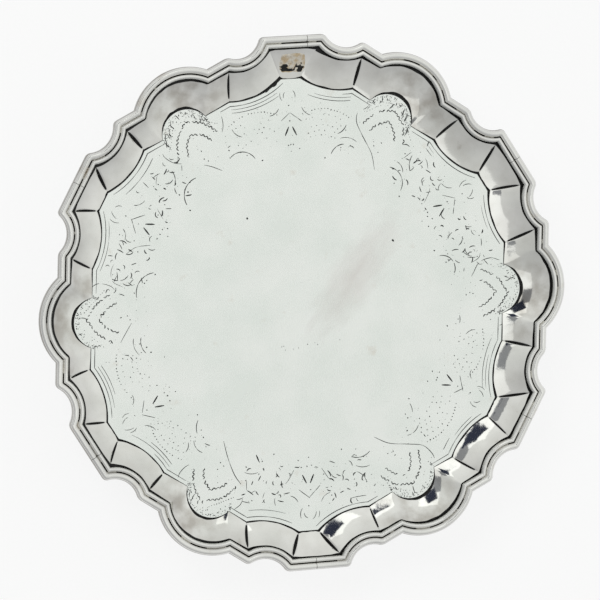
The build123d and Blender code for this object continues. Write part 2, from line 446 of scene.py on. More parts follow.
def spline(points, steps=4):
    """A smooth line through a few points."""
    ends = [2 * points[0] - points[1]] + list(points) + [2 * points[-1] - points[-2]]
    line = []
    for a, b, c, d in zip(ends, ends[1:], ends[2:], ends[3:]):
        for k in range(steps):
            t = k / steps
            line.append(0.5 * (2 * b + (c - a) * t + (2 * a - 5 * b + 4 * c - d) * t ** 2
                               + (3 * b - a - 3 * c + d) * t ** 3))
    return line + [points[-1]]


def worn(points, width, wear=0.25, span=7):
    """A long cut that wear has broken into stretches."""
    start = 0
    while start < len(points) - 2:
        end = min(len(points) - 1, start + random.randint(3, span))
        if random.random() > wear and end - start >= 2:
            add_stroke(points[start:end + 1], width * random.uniform(0.75, 1.1))
        start = end + (1 if random.random() < wear else 0)


def add_dot(place, size=0.42):
    """A punched dot, a little longer one way."""
    angle = random.uniform(0, pi)
    reach = cmath.rect(size * random.uniform(0.12, 0.3), angle)
    place += PLATE_SHIFT
    strokes.append([(place - reach, size * 0.36), (place + reach, size * 0.36)])


def dotted(points, spacing, size=0.42, wear=0.12):
    """Punched dots along a line."""
    left = 0.0
    for a, b in zip(points, points[1:]):
        length = abs(b - a)
        while left < length:
            if random.random() > wear:
                add_dot(a + (b - a) * left / length + complex(random.gauss(0, 0.06), random.gauss(0, 0.06)),
                        size * random.uniform(0.7, 1.15))
            left += spacing
        left -= length


def shaky(place, by=0.12):
    return place + complex(random.gauss(0, by), random.gauss(0, by))


def evenly(points, step):
    """A line's points spaced about this far apart."""
    length = sum(abs(b - a) for a, b in zip(points, points[1:]))
    return resample(points, points[0], points[-1], max(2, round(length / step)))


def wriggled(points, swing, width, wear):
    """Wriggled work: a zigzag of short cuts walked along a line, with worn gaps."""
    side, nodes = 1, []
    for a, b in zip(points, points[1:]):
        normal = (b - a) / abs(b - a) * 1j
        nodes.append(shaky(a + normal * side * swing * random.uniform(0.6, 1.3), 0.06))
        side = -side
    for a, b in zip(nodes, nodes[1:]):
        side = -side
        if random.random() > wear:
            add_stroke(curve_points(a, b, side * 0.16 * abs(b - a), 0.35), width * random.uniform(0.6, 1.3))


def engrave_shell(turn, bold):
    """The fan-shaped shell under a lobe: nested wriggled lines and a stippled ground."""
    for places, wear in (((65.3, 62.3 + 4.5j, 57.0 + 7.4j), 0.16),
                         ((61.5, 59.3 + 2.9j, 55.8 + 4.6j), 0.16)):
        for side in (1, -1):
            line = [complex(shaky(complex(place), 0.25).real, side * complex(place).imag) * turn
                    for place in places]
            wriggled(evenly(spline(line), 0.62), 0.24, 0.34, wear)
    side = random.choice((1, -1))
    dotted([complex(66.0, side * 2.2) * turn, complex(59.6, side * 8.4) * turn], 0.8, 0.34, 0.2)
    dotted([complex(64.6, -side * 4.6) * turn, complex(60.4, -side * 8.6) * turn], 0.9, 0.3, 0.4)
    lobe = cell_path(BORDER_WIDTH)[CORNERS_AT["foot", -1]:CORNERS_AT["foot", 1]]
    for _ in range(170 if bold else 110):
        place = random.choice(lobe)
        depth = 0.3 + abs(random.gauss(0, 1.6 if bold else 1.0))
        add_dot((place - place / abs(place) * depth + complex(0, random.gauss(0, 0.3))) * turn,
                random.uniform(0.2, 0.36))
    for _ in range(15 if bold else 5):
        place = random.choice(lobe)
        start = place - place / abs(place) * random.uniform(0.5, 2.6)
        end = start - polar(random.uniform(0.7, 2.3), random.gauss(0, 16))
        widest = 0.42 if bold else 0.3
        add_stroke(curve_points(start * turn, end * turn, 0.1, 0.5), random.uniform(0.2, widest))
    for r, x in ((54.6, 0.0), (52.9, 0.5), (52.6, -0.6)):
        add_dot(shaky(complex(r, x), 0.4) * turn)


def engrave_scrolls(turn):
    """The scrolls that frame a shell on its two sides."""
    frame_line = [46.8 - 2.2j, 50.8 + 0.9j, 54.0 + 5.2j, 56.8 + 9.2j,
                  60.4 + 10.5j, 63.2 + 9.8j]
    worn(spline([shaky(place, 0.2) * turn for place in frame_line]), 0.24, 0.4)
    mirrored = [complex(place.real + 0.6, -place.imag) for place in frame_line[1:]]
    worn(spline([shaky(place, 0.2) * turn for place in mirrored]), 0.22, 0.6)
    for side in (1, -1):
        lean = polar(1, side * 11) * turn
        for a, b, bulge, width in ((46.0 + 3.6j, 49.6 - 3.2j, 2.0, 0.28),
                                   (51.6 + 1.5j, 52.4 - 3.4j, 0.7, 0.22),
                                   (53.4 + 2.4j, 56.6 + 0.6j, -0.5, 0.26)):
            a, b = (shaky(complex(p.real, side * p.imag), 0.3) * lean for p in (a, b))
            worn(curve_points(a, b, side * bulge, 0.5), width, 0.18, 9)
        for r, x in ((48.2, 0.4), (47.4, 1.3), (44.9, 4.6), (50.2, -2.0)):
            add_dot(shaky(complex(r, side * x), 0.5) * lean, random.uniform(0.3, 0.55))


def engrave_borders(turn):
    """Fine lines that follow the plate's edge along the scoops."""
    for inset, width, wear in ((1.1, 0.26, 0.1), (2.1, 0.16, 0.5), (3.1, 0.2, 0.4)):
        path = cell_path(BORDER_WIDTH + inset)
        for side, names in ((1, (("foot", 1), ("tablet", 1))), (-1, (("tablet", -1), ("foot", -1)))):
            first, last = (CORNERS_AT[name] for name in names)
            if inset > 2:
                first, last = first + (9 if side > 0 else 3), last - (3 if side > 0 else 9)
            worn([place * turn for place in path[first + 3:last - 3:2]], width, wear, 9)


def engrave_tablet(turn):
    """The motif on a tablet's axis: a small palmette, a chevron and two bold leaves."""
    for side in (1, -1):
        for a, b, bulge in ((complex(64.4, side * 0.9), complex(62.2, side * 1.9), -0.3),
                            (complex(63.8, side * 2.9), complex(61.2, side * 2.2), -0.4),
                            (57.9, complex(54.9, side * 3.5), 0.0),
                            (complex(59.0, side * 3.8), complex(57.0, side * 6.4), 0.5)):
            a, b = (shaky(complex(p), 0.25) * turn for p in (a, b))
            worn(curve_points(a, b, side * bulge, 0.5), 0.22, 0.12, 9)
        add_stroke(line_points(complex(51.0, side * 1.75) * turn, complex(53.5, side * 0.6) * turn, 3), 0.5)
        add_dot(shaky(complex(48.4, side * 1.4), 0.3) * turn, 0.45)
    for r, x in ((48.2, 0.0), (46.0, 0.2), (46.6, -2.4), (60.2, 0.0), (55.6, 0.3)):
        add_dot(shaky(complex(r, x), 0.3) * turn, random.uniform(0.3, 0.5))


def engrave_diaper(tablet_turn, side):
    """A panel of dotted trellis beside a tablet, under a dotted border."""
    for row in range(5):
        for place in range(8):
            angle = 5.2 + 1.75 * place + (0.9 if row % 2 else 0.0)
            radius = 51.6 + 1.5 * row - 0.04 * (angle - 12) ** 2
            if random.random() < 0.66:
                add_dot(shaky(polar(radius, side * angle), 0.14) * tablet_turn, random.uniform(0.24, 0.42))
    edge = [polar(59.4 - 0.03 * (angle - 12) ** 2, side * angle) * tablet_turn for angle in range(4, 21)]
    dotted(edge, 1.0, 0.42, 0.1)


def engrave_flowers(tablet_turn, side):
    """A panel of worn leaves on a scrolling stem beside a tablet."""
    stops = ((49.5, 5.0), (53.6, 7.5), (56.4, 11.5), (58.8, 15.0), (58.2, 19.0), (54.6, 20.5))
    stem = spline([polar(r, side * a) * tablet_turn for r, a in stops])
    worn(stem, 0.18, 0.55, 4)
    for k in range(1, len(stem) - 1):
        ahead = (stem[k + 1] - stem[k - 1]) / abs(stem[k + 1] - stem[k - 1])
        for hand in (1, -1):
            if random.random() < 0.74:
                continue
            root = shaky(stem[k] + ahead * 1j * hand * random.uniform(0.5, 2.6), 0.5)
            tip = root + ahead * polar(random.uniform(0.7, 2.6), hand * random.uniform(-60, 130))
            leaf = curve_points(root, tip, hand * random.uniform(-0.5, 0.5), 0.4)
            add_stroke(leaf, random.uniform(0.16, 0.34))
    for k in range(17):                        # loose leaves, spread evenly over the panel
        root = shaky(polar(48.0 + 12.6 * (k * 0.618 % 1), side * (4.6 + k)), 0.5) * tablet_turn
        tip = root + polar(random.uniform(0.8, 2.1), random.uniform(0, 360))
        add_stroke(curve_points(root, tip, random.uniform(-0.35, 0.35), 0.4), random.uniform(0.22, 0.44))
    for _ in range(9):
        add_dot(polar(random.uniform(48.5, 61.0), side * random.uniform(5, 22)) * tablet_turn,
                random.uniform(0.25, 0.45))


def draw_ornament():
    for index, turn in enumerate(TURNS):
        engrave_shell(turn, index in (1, 2))
        engrave_scrolls(turn)
        engrave_borders(turn)
        tablet_turn = polar(1, HALF_CELL + index * CELL)
        engrave_tablet(tablet_turn)
        panel = engrave_diaper if index % 2 else engrave_flowers
        for side in (1, -1):
            panel(tablet_turn, side)
    for _ in range(420):                       # specks of worn matting all round the band
        add_dot(polar(random.uniform(47.0, 62.5), random.uniform(0, 360)), random.uniform(0.14, 0.26))
    # Two dents near the middle, and a few scratches and specks of use.
    for place in (29.3 + 16.8j, complex(-15.6, 26.2)):
        add_dot(place - PLATE_SHIFT, 0.8)
    for _ in range(9):
        add_dot(complex(random.uniform(-8, 12), random.gauss(-12, 0.5)), random.uniform(0.24, 0.36))
    for _ in range(9):                         # file marks by the repair
        stray = complex(random.uniform(-3.4, 1.4), random.gauss(0, 0.3))
        start = complex(-4.6, 66.2) + stray * polar(1, 28)
        end = start + polar(random.uniform(0.8, 1.9), random.gauss(222, 16))
        add_stroke(curve_points(start, end, 0.1, 0.5), random.uniform(0.2, 0.42))
    for _ in range(16):
        start = polar(random.uniform(4, 42), random.uniform(0, 360))
        end = start + polar(random.uniform(1.2, 4.5), random.gauss(20, 40))
        add_stroke(curve_points(start, end, random.uniform(-0.2, 0.2)), 0.06)


def cut_outline(cut):
    """Left side, right side and middle of a cut, with pointed ends."""
    places = [place for place, _ in cut]
    left, right = [], []
    for k, (place, half) in enumerate(cut):
        ahead = places[min(k + 1, len(cut) - 1)] - places[max(k - 1, 0)]
        normal = ahead / abs(ahead) * 1j
        left.append(place + normal * half)
        right.append(place - normal * half)
    first = (places[1] - places[0]) / abs(places[1] - places[0])
    last = (places[-1] - places[-2]) / abs(places[-1] - places[-2])
    return left, right, places, places[0] - first * cut[0][1], places[-1] + last * cut[-1][1]


def depth_at(place, nearby):
    """How deep the deepest cut is at this place."""
    deepest = 0.0
    for cut in nearby:
        for (a, wide_a), (b, wide_b) in zip(cut, cut[1:]):
            run = b - a
            share = min(1.0, max(0.0, dot(place - a, run) / abs(run) ** 2))
            room = wide_a + (wide_b - wide_a) * share - abs(place - a - run * share)
            deepest = max(deepest, room * CUT_SLOPE)
    return deepest


def engraved_plate(boundary):
    """Triangles of the flat plate with every cut sunk in it: points, faces and tones."""
    places = list(boundary)
    edges = [(k, (k + 1) % len(places)) for k in range(len(places))]
    for cut in strokes:
        left, right, middle, tip, tail = cut_outline(cut)
        start = len(places)
        count = len(middle)
        places += [tip] + left + [tail] + right[::-1] + middle
        around = list(range(start, start + 2 * count + 2))
        edges += list(zip(around, around[1:] + around[:1]))
        spine = [start] + list(range(start + 2 * count + 2, start + 3 * count + 2)) + [start + count + 1]
        edges += list(zip(spine, spine[1:]))
    grid = 3.4
    reach = int(TABLET_REACH / grid)
    for row in range(-reach, reach + 1):
        for column in range(-reach, reach + 1):
            place = grid * complex(column + 0.5 * (row % 2), row * 0.866)
            if abs(place) < 63.0:
                places.append(place)
    made = delaunay_2d_cdt([Vector((p.real, p.imag)) for p in places], edges, [], 1, 1e-5, True)
    points = [complex(v.x, v.y) for v in made[0]]
    pitch = 2.0
    near = {}
    for cut in strokes:
        reach = max(half for _, half in cut)
        xs = [p.real for p, _ in cut]
        ys = [p.imag for p, _ in cut]
        for gx in range(int((min(xs) - reach) // pitch), int((max(xs) + reach) // pitch) + 1):
            for gy in range(int((min(ys) - reach) // pitch), int((max(ys) + reach) // pitch) + 1):
                near.setdefault((gx, gy), []).append(cut)
    depths = [depth_at(p, near.get((int(p.real // pitch), int(p.imag // pitch)), ())) for p in points]
    ring = sorted((cmath.phase(p), k, p) for k, p in enumerate(boundary))
    angles = [angle for angle, _, _ in ring]

    def inside(face):
        middle = sum(points[v] for v in face) / len(face)
        k = bisect(angles, cmath.phase(middle)) % len(ring)
        a, b = ring[k - 1][2], ring[k][2]
        return ((b - a).conjugate() * (middle - a)).imag > 0

    faces = [face for face in made[2] if inside(face)]
    tones = [1 if max(depths[v] for v in face) > 0.02 else 0 for face in faces]
    return points, depths, faces, tones


def undulation(place):
    """The plate is hammered and worn, so it is never quite flat."""
    fade = min(1.0, max(0.0, (62.0 - abs(place)) / 12))
    slow = noise.noise(Vector((place.real / 22, place.imag / 22, 0.4)))
    return 0.05 * fade * slow


# How wide the dark joints are round a cell, in mm, from each column's place in it.
def bump_at(column, centre, spread):
    return exp(-((column - centre) / spread) ** 2)


LOBE_MIDDLE = (CORNERS_AT["foot", -1] + CORNERS_AT["foot", 1]) / 2


def rim_joint(column):
    """The open groove between the rim and the border: wide at the corners and on the lobes."""
    width = 0.24 + 0.3 * bump_at(column, LOBE_MIDDLE, 12)
    for side in (1, -1):
        width += 0.42 * bump_at(column, CORNERS_AT["tablet", side], 5)
        width += 0.4 * bump_at(column, CORNERS_AT["shoulder", side], 4)
        width -= 0.16 * bump_at(column, CORNERS_AT["foot", side], 4)
    return width


def plate_joint(column):
    """The chased line where the border meets the plate: a crescent under each lobe."""
    width = 0.46 + 0.54 * bump_at(column, LOBE_MIDDLE, 8)
    for side in (1, -1):
        width += 0.32 * bump_at(column, CORNERS_AT["tablet", side], 5)
        width += 0.2 * bump_at(column, CORNERS_AT["shoulder", side], 4)
        width -= 0.34 * bump_at(column, CORNERS_AT["foot", side], 7)
    return width


def crease(inset):
    """How open a corner's crease is at this inset, from 0 to 1."""
    share = (inset - 3.7) / (BORDER_WIDTH - 4.1)
    return sin(pi * share) ** 0.7 if 0 < share < 1 else 0.0


# The repair at the top tablet flattened the creases beside it and left two burnt places.
SMOOTH_CORNERS = ((1, "tablet", 1), (2, "tablet", -1))
RIM_BURN = (COLUMNS - 1) + CORNERS_AT["tablet", 1] - 2
PLATE_BURN = 2 * (COLUMNS - 1) + CORNERS_AT["tablet", -1] + 4


def make_plate(materials):
    """Tones: 0 polished sheet, 1 tarnish in the cuts, 2 the border, 3 the joints' dark, also laid as
    painted shade in the corner creases.
    """
    shell = Shell()
    cell = COLUMNS - 1
    count = cell * LOBES
    joint, chased = [], []
    for column, place in enumerate(whole_path(RIM_WIDTH)):
        uneven = 1 + 0.5 * noise.noise(Vector((place.real / 3, place.imag / 3, 5.0)))
        # The dark joint is drawn wider toward −X.
        minus_x_widening = 0.32 * max(0.0, -place.real / abs(place))
        burn = 0.5 * bump_at(column, RIM_BURN, 5)
        faded = 1 - 0.7 * bump_at(column, 2 * cell, 7)
        joint.append(min(1.45, rim_joint(column % cell) * uneven + minus_x_widening + burn))
        scorch = 0.6 * bump_at(column, PLATE_BURN, 6)
        chased.append(min(0.98, plate_joint(column % cell) * uneven * faded + scorch))
    middles = {}
    strength = {}
    for lobe in range(LOBES):
        for name in ("shoulder", "tablet"):
            for side in (1, -1):
                middle = lobe * cell + CORNERS_AT[name, side]
                smooth = (lobe, name, side) in SMOOTH_CORNERS
                strength[middle] = 0.1 if smooth else random.uniform(0.6, 1.25)
                for k in range(-CORNER_STEPS // 2, CORNER_STEPS // 2 + 1):
                    middles[middle + k] = (middle, k)

    def along(inset, extra=None):
        base = whole_path(inset)
        if extra is None:
            return base
        deeper = whole_path(inset + 1)
        return [a + (b - a) * e for a, b, e in zip(base, deeper, extra)]

    rows, tones = [], []

    def add_row(places, heights, tone):
        rows.append([shell.point(p, h) for p, h in zip(places, heights)])
        tones.append(tone)

    edge = LIP_WIDTH + 0.03
    joint_inset = RIM_WIDTH - 0.2
    add_row(along(edge), [FLANGE_TOP - SHEET] * count, 0)
    add_row(along(edge), [FLANGE_TOP - 0.01] * count, 0)
    add_row(along(joint_inset), [FLANGE_TOP - 0.01] * count, 3)
    add_row(along(joint_inset + 0.12), [FLANGE_TOP - 0.5] * count, 3)
    section = border_section(0.0)[::-1]

    add_row(along(RIM_WIDTH, joint), [on_border(RIM_WIDTH + j) for j in joint], 2)
    for inset, height in section[3:-2]:
        places = along(inset)
        heights = [height] * count
        open_ = crease(inset)
        for column, (middle, k) in middles.items():
            lens = open_ * strength[middle]
            out = places[column]
            neighbour = places[middle]
            spread = (out - neighbour)
            places[column] = neighbour + spread * (1 + 8.0 * lens)
            heights[column] -= 0.45 * lens * max(0.0, 1 - abs(k) / 2.5)
        add_row(places, heights, 2)
    near_edge = [-e for e in chased]
    add_row(along(BORDER_WIDTH, near_edge), [on_border(BORDER_WIDTH - e) for e in chased], 3)
    add_row(along(BORDER_WIDTH, [e / 2 for e in near_edge]), [PLATE_TOP - 0.1 - 0.1 * e for e in chased], 3)
    boundary = along(BORDER_WIDTH)
    add_row(boundary, [PLATE_TOP] * count, 0)

    def tone(row, column):
        if tones[row] == 2 and column % count in middles:
            middle, k = middles[column % count]
            inset = section[min(row - 1, len(section) - 1)][0] if row > 4 else 4.2
            # Inside an open crease the middle columns take the joints' near-black: painted shade along the
            # crease.
            if -2 <= k < 2 and crease(inset) * strength[middle] > 0.25:
                return 3
        return tones[row]

    shell.strips(rows, True, tone)
    points, depths, faces, face_tones = engraved_plate(boundary)
    numbers = [shell.point(p, PLATE_TOP - d + undulation(p)) for p, d in zip(points, depths)]
    for face, face_tone in zip(faces, face_tones):
        shell.face([numbers[v] for v in face], face_tone)

    below = [rows[0]]
    skin = border_section(SHEET)[::-1]
    for inset, height in skin:
        if height < FLANGE_TOP - SHEET - 0.05 and inset < BORDER_WIDTH - 0.2:
            below.append([shell.point(p, height) for p in along(inset)])
    bottom = along(BORDER_WIDTH - 0.1)
    for share in (1.0, 0.9, 0.78, 0.64, 0.5, 0.36, 0.22, 0.1):
        row = []
        for place in bottom:
            p = place * share
            wave = 0.03 + 0.03 * noise.noise(Vector((p.real / 9, p.imag / 9, 7.7)))
            row.append(shell.point(p, STAND + (wave if share < 1 else 0.0)))
        below.append(row)
    shell.strips([row[::-1] for row in below])
    centre = shell.point(0j, STAND + 0.03)
    last = below[-1]
    for k in range(count):
        shell.face([last[(k + 1) % count], last[k], centre])
    piece = shell.piece("engraved_plate", materials, 9.0)
    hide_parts("plate")
    return piece


# ---- feet, solder and the old repair -----------------------------------------------------

FOOT_TABLETS = (90.0, 210.0, 330.0)
FOOT_INSET = 8.6
LEG_POINTS = 48
LEG_RINGS = 44
LEG_SECTIONS = (           # share of height, middle's place outward, half width outward and along
    (0.0, 1.6, 3.25, 2.95), (0.04, 1.6, 3.4, 3.1), (0.1, 1.45, 3.4, 3.1), (0.2, 0.7, 2.5, 2.4),
    (0.33, -0.2, 1.55, 1.75), (0.5, 0.0, 1.75, 1.95), (0.68, 1.0, 2.6, 2.9), (0.84, 0.9, 3.6, 4.1),
    (1.0, 0.2, 4.3, 5.0),
)


def under_border(inset):
    """Height of the sheet's underside at this inset, beside a tablet."""
    centre, _, radius, low, _ = border_arc()
    if inset > centre - (radius + SHEET) * sin(radians(low)):
        return STAND
    return min(FLANGE_TOP - SHEET, on_border(inset, SHEET))


def leg_section(share):
    """The leg's middle and half widths at this share of its height, smoothly in between."""
    table = (LEG_SECTIONS[0],) + LEG_SECTIONS + (LEG_SECTIONS[-1],)
    for k in range(1, len(table) - 2):
        a, b, c, d = table[k - 1:k + 3]
        if share <= c[0] or k == len(table) - 3:
            t = (share - b[0]) / (c[0] - b[0])
            return [0.5 * (2 * q + (r - p) * t + (2 * p - 5 * q + 4 * r - s) * t * t
                           + (3 * q - p - 3 * r + s) * t ** 3)
                    for p, q, r, s in zip(a[1:], b[1:], c[1:], d[1:])]


def leg_ring(share, margin=0.0):
    """Places round the leg, from its front; the front is turned outward."""
    out, half_out, half_along = leg_section(share)
    hoof = max(0.0, 1 - share / 0.2)
    ring = []
    for k in range(LEG_POINTS):
        angle = 2 * pi * k / LEG_POINTS
        front = exp(-(min(angle, 2 * pi - angle) / 0.26) ** 2)
        back = exp(-((angle - pi) / 0.5) ** 2)
        swell = 1 - 0.3 * front * min(1.0, 2.2 * hoof)                   # the cleft of the hoof
        swell += 0.1 * back * exp(-((share - 0.24) / 0.05) ** 2)         # the tuft over the heel
        swell += 0.07 * front * exp(-((share - 0.74) / 0.12) ** 2)       # the ridge of the knee
        swell += 0.05 * (1 if 0.13 < share < 0.165 else 0)               # the hoof's upper edge
        ring.append(complex(out + (half_out * swell + margin) * cos(angle),
                            (half_along * swell + margin) * sin(angle)))
    return ring


def make_foot(number, angle, materials, solder):
    turn = polar(1, angle)
    reach = TABLET_REACH - FOOT_INSET
    height = FLANGE_TOP - 0.3
    shell = Shell()
    rows = []
    for k in range(LEG_RINGS + 1):
        share = k / LEG_RINGS
        places = [place + reach for place in leg_ring(share)]
        heights = [min(share * height, under_border(inset_at(p.real, angle)) + 0.35) for p in places]
        rows.append([shell.point(p * turn, h) for p, h in zip(places, heights)])
    shell.strips(rows)
    shell.face(rows[0][::-1])
    shell.face(rows[-1])
    foot = shell.piece(f"cast_hoof_{number}", materials, 38.0)
    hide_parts(f"hoof_foot_{number}")

    collar = Shell()
    rows = []
    for low, drop, margin in ((0, 0.7, -0.1), (0, 0.7, 0.02), (0, 0.42, 0.14), (0, 0.18, 0.34),
                              (0, -0.04, 0.55), (0, -0.1, -0.1)):
        row = []
        for k in range(LEG_POINTS):
            share = 0.86
            for _ in range(4):
                place = leg_ring(share, margin)[k] + reach
                below = under_border(inset_at(place.real, angle))
                share = (below - drop) / height
            row.append(collar.point(place * turn, below - drop))
        rows.append(row)
    collar.strips(rows + rows[:1])
    fillet = collar.piece(f"foot_fillet_{number}", solder)
    return foot, fillet


PATCH_LENGTH = 7.8         # along the tablet
PATCH_WIDTH = 5.6          # its edge has spread beyond the solid model's 5.0
PATCH_SHIFT = -0.4
PATCH_INSET = 8.2
PATCH_THICKNESS = 0.3
PATCH_SUNK = 0.12          # how deep its underside is let into the border


def make_patch(materials):
    """A repair plate let into the border, lumpy, with burnt pits along its inner edge."""
    shell = Shell()
    across, along = 20, 28
    middle = complex(TABLET_REACH - PATCH_INSET, PATCH_SHIFT)
    top, low, tones = [], [], {}
    for r in range(across + 1):
        upper, lower = [], []
        for c in range(along + 1):
            u, v = 2 * r / across - 1, 2 * c / along - 1
            round_off = (1 - 0.16 * u ** 4 * v * v, 1 - 0.1 * v ** 4 * u * u)
            place = complex(u * PATCH_WIDTH / 2 * round_off[1], v * PATCH_LENGTH / 2 * round_off[0])
            place = middle + place
            ragged = noise.noise(Vector((place.real, place.imag, 3.0)) * 0.7)
            place += complex(0.3 * ragged * abs(u), 0.3 * ragged * abs(v))
            base = on_border(inset_at(place.real, 90))
            lump = 0.5 + 0.5 * noise.noise(Vector((place.real, place.imag, 9.0)) * 1.1)
            pit = max(bump_at(v, side * 0.62, 0.34) * bump_at(u, -0.62, 0.42) for side in (1, -1))
            pit = max(pit, 0.75 * bump_at(u, -0.8, 0.2) * bump_at(v, 0.0, 0.7))
            rise = PATCH_THICKNESS * (0.35 + 0.65 * lump) * (1 - max(abs(u), abs(v)) ** 8) - 0.25 * pit
            upper.append(shell.point(place * 1j, base + max(0.02, rise)))
            lower.append(shell.point(place * 1j, base - PATCH_SUNK))
            burnt = noise.noise(Vector((place.real, place.imag, 5.0)) * 1.5)
            tones[r, c] = 1 if pit > 0.42 - 0.5 * burnt else 0
        top.append(upper)
        low.append(lower)
    shell.strips(top, False, lambda r, c: tones[r, c])
    shell.strips([row[::-1] for row in low], False)
    edges = []
    for grid in (low, top):
        right, left = [row[-1] for row in grid[:-1]], [row[0] for row in grid[:0:-1]]
        edges.append(grid[0][:-1] + right + grid[-1][:0:-1] + left)
    shell.strips(edges)
    piece = shell.piece("old_repair", materials, 50.0)
    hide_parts("repair_patch")
    return piece


# ---- materials ------------------------------------------------------------------------------


def linear(hex_colour):
    """An sRGB hex colour as linear values, with full alpha."""
    values = []
    for k in (0, 2, 4):
        c = int(hex_colour[k:k + 2], 16) / 255
        values.append(c / 12.92 if c <= 0.04045 else ((c + 0.055) / 1.055) ** 2.4)
    return (*values, 1.0)


def add(tree, kind, inputs=(), out=0, **settings):
    """Adds a node and returns one of its outputs.

    inputs gives its sockets, all in order or by name or number. Each is a value, a hex
    colour or another node's output.
    """
    node = tree.nodes.new(kind)
    for name, value in settings.items():
        setattr(node, name, value)
    for name, value in (inputs if isinstance(inputs, dict) else dict(enumerate(inputs))).items():
        if isinstance(value, bpy.types.NodeSocket):
            tree.links.new(value, node.inputs[name])
        else:
            node.inputs[name].default_value = linear(value) if isinstance(value, str) else value
    return node.outputs[out] if node.outputs else None


def coated(tree, colour, *coats):
    """A colour under other colours; each coat is a pattern, where it starts, where it is
    full, how much it then covers, and its colour."""
    for pattern, start, full, most, coat in coats:
        share = add(tree, "ShaderNodeMapRange", (pattern, start, full, 0.0, most))
        colour = add(tree, "ShaderNodeMix", {0: share, 6: colour, 7: coat}, 2, data_type="RGBA")
    return colour


def new_material(name):
    """An empty material, its tree, and the places on the object that its patterns follow."""
    material = bpy.data.materials.new(name)
    material.use_nodes = True
    tree = material.node_tree
    tree.nodes.clear()
    return material, tree, add(tree, "ShaderNodeTexCoord", out="Object")


def finish_material(tree, inputs):
    add(tree, "ShaderNodeOutputMaterial", (add(tree, "ShaderNodeBsdfPrincipled", inputs),))


def size_mm(mm):
    """Noise scale whose features are about this many millimetres, in object space."""
    return 1 / (mm * MM)


def lobe_share(tree, where):
    """1 on the lobes' axes, a quarter between them."""
    parts = add(tree, "ShaderNodeSeparateXYZ", (where,)).node.outputs
    angle = add(tree, "ShaderNodeMath", (parts["Y"], parts["X"]), operation="ARCTAN2")
    turns = add(tree, "ShaderNodeMath", (angle, float(LOBES), radians(18)), operation="MULTIPLY_ADD")
    wave = add(tree, "ShaderNodeMath", (turns,), operation="COSINE")
    return add(tree, "ShaderNodeMapRange", (wave, 0.35, 0.95, 0.25, 1.0))


def rubbed_band(tree, where):
    """A long soft smear across the plate, left by a polishing cloth."""
    smear = {"Vector": where, "Location": (17 * MM, 7 * MM, 0.0), "Rotation": (0.0, 0.0, radians(50)),
             "Scale": (23 * MM, 7.5 * MM, 1.0)}
    local = add(tree, "ShaderNodeMapping", smear, vector_type="TEXTURE")
    far = add(tree, "ShaderNodeVectorMath", (local,), "Value", operation="LENGTH")
    streak = add(tree, "ShaderNodeTexNoise", {"Vector": local, "Scale": 3.0, "Detail": 4.0})
    edge = add(tree, "ShaderNodeMath", (far, streak), operation="ADD")
    return add(tree, "ShaderNodeMapRange", (edge, 0.4, 1.6, 0.6, 0.0))


def silver(name, bright, dull, stain, rough_low, rough_high, stain_from=0.6, scratch=0.25,
           on_lobes=False, rubbed=False):
    """Sterling silver, polished and then used for years.

    The eye sees a pale metal with cloudy dulling, brownish tarnish in patches, and hair
    scratches that break up its reflections. The hairs are drawn coarser than real ones.
    """
    material, tree, where = new_material(name)
    lengthwise = add(tree, "ShaderNodeMapping", {"Vector": where, "Scale": (1.0, 0.06, 1.0)})
    crosswise = add(tree, "ShaderNodeMapping", {"Vector": where, "Scale": (0.08, 1.0, 1.0)})
    cloud, patch, fine, hair, cross_hair = [
        add(tree, "ShaderNodeTexNoise", {"Vector": place, "Scale": size_mm(mm), "Detail": detail})
        for place, mm, detail in ((where, 14.0, 4.0), (where, 6.0, 6.0), (where, 0.5, 2.0),
                                  (lengthwise, 0.16, 1.0), (crosswise, 0.2, 1.0))]
    colour = coated(tree, bright, (cloud, 0.35, 0.65, 1.0, dull), (patch, stain_from, 0.8, 0.7, stain))
    if on_lobes:
        smudge = add(tree, "ShaderNodeMapRange", (patch, 0.4, 0.64, 0.0, 0.7))
        smudge = add(tree, "ShaderNodeMath", (smudge, lobe_share(tree, where)), operation="MULTIPLY")
        colour = coated(tree, colour, (smudge, 0.0, 1.0, 1.0, stain))
    if rubbed:
        colour = coated(tree, colour, (rubbed_band(tree, where), 0.0, 1.0, 1.0, "d2cbc8"))
    haze = add(tree, "ShaderNodeMapRange", (hair, 0.5, 0.7, 0.0, 0.3))
    haze = add(tree, "ShaderNodeMath", (cloud, haze), operation="ADD")
    rough = add(tree, "ShaderNodeMapRange", (haze, 0.35, 0.95, rough_low, rough_high))
    scratches = add(tree, "ShaderNodeMath", (hair, cross_hair), operation="MULTIPLY")
    bump = add(tree, "ShaderNodeBump", {"Height": scratches, "Strength": scratch, "Distance": 0.02 * MM})
    for height, strength, deep in ((fine, 0.12, 0.02), (cloud, 0.3, 0.4)):
        bump = add(tree, "ShaderNodeBump", {"Height": height, "Strength": strength, "Distance": deep * MM,
                                            "Normal": bump})
    finish_material(tree, {"Base Color": colour, "Roughness": rough, "Normal": bump, "Metallic": 1.0})
    return material


def tarnish(name, dark, less_dark):
    """Silver sulphide left in cuts and joints that polishing never reaches: matt and near black."""
    material, tree, where = new_material(name)
    mottle = add(tree, "ShaderNodeTexNoise", {"Vector": where, "Scale": size_mm(1.2), "Detail": 4.0})
    colour = coated(tree, dark, (mottle, 0.4, 0.7, 1.0, less_dark))
    finish_material(tree, {"Base Color": colour, "Metallic": 0.35, "Roughness": 0.55})
    return material


